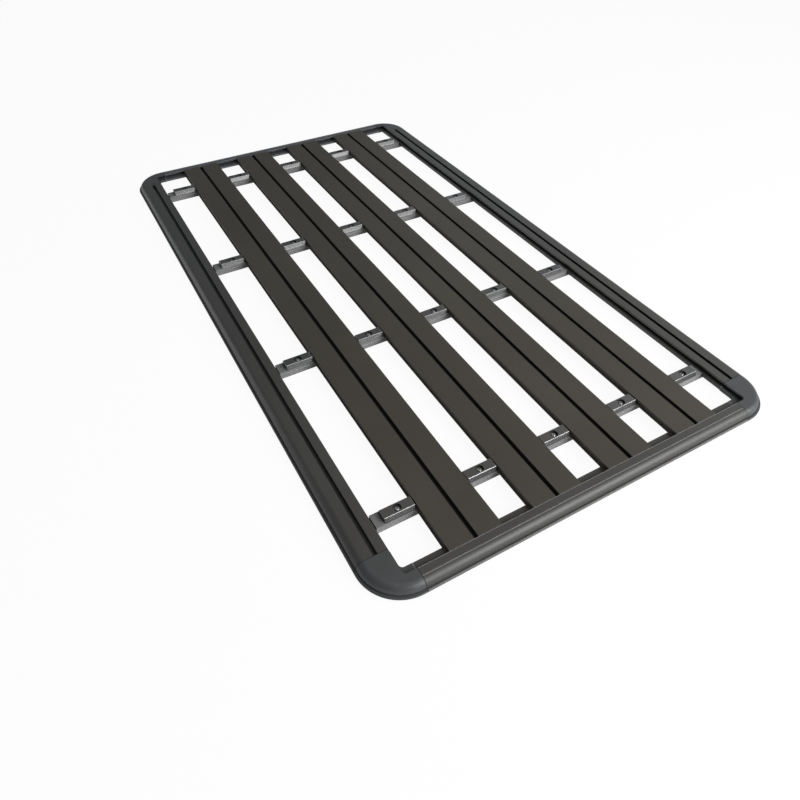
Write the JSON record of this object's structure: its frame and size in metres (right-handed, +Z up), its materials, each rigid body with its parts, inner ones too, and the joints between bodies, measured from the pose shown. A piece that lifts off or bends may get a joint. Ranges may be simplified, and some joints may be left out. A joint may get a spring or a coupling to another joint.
{
  "type": "flat platform roof rack",
  "caption": "Flat platform roof rack: lengthwise slotted planks over crossbars with clamp blocks, in a rounded frame of extruded rails with moulded corners.",
  "frame": {"origin": "middle of the rack, on the plane that the crossbars' undersides stand on", "axes": "+X across the rack to the right, +Y along it to the rear, +Z up through the deck"},
  "size_m": [1.25, 2.196, 0.0375],
  "materials": {
    "rail_coat": "satin",
    "plank_coat": "satin",
    "corner_plastic": "matte",
    "crossbar_coat": "satin",
    "clamp_coat": "satin"
  },
  "bodies": {
    "root": {"side_rail_left": "rail_coat", "side_rail_right": "rail_coat", "front_rail": "rail_coat", "rear_rail": "rail_coat", "corner_front_left": "corner_plastic", "corner_front_right": "corner_plastic", "corner_rear_left": "corner_plastic", "corner_rear_right": "corner_plastic", "plank_1": "plank_coat", "plank_2": "plank_coat", "plank_3": "plank_coat", "plank_4": "plank_coat", "crossbar_1": "crossbar_coat", "crossbar_2": "crossbar_coat", "crossbar_3": "crossbar_coat", "crossbar_4": "crossbar_coat", "clamp_1_1": "clamp_coat", "clamp_1_2": "clamp_coat", "clamp_1_3": "clamp_coat", "clamp_1_4": "clamp_coat", "clamp_1_5": "clamp_coat", "clamp_2_1": "clamp_coat", "clamp_2_2": "clamp_coat", "clamp_2_3": "clamp_coat", "clamp_2_4": "clamp_coat", "clamp_2_5": "clamp_coat", "clamp_3_1": "clamp_coat", "clamp_3_2": "clamp_coat", "clamp_3_3": "clamp_coat", "clamp_3_4": "clamp_coat", "clamp_3_5": "clamp_coat", "clamp_4_1": "clamp_coat", "clamp_4_2": "clamp_coat", "clamp_4_3": "clamp_coat", "clamp_4_4": "clamp_coat", "clamp_4_5": "clamp_coat"}
  },
  "joints": []
}
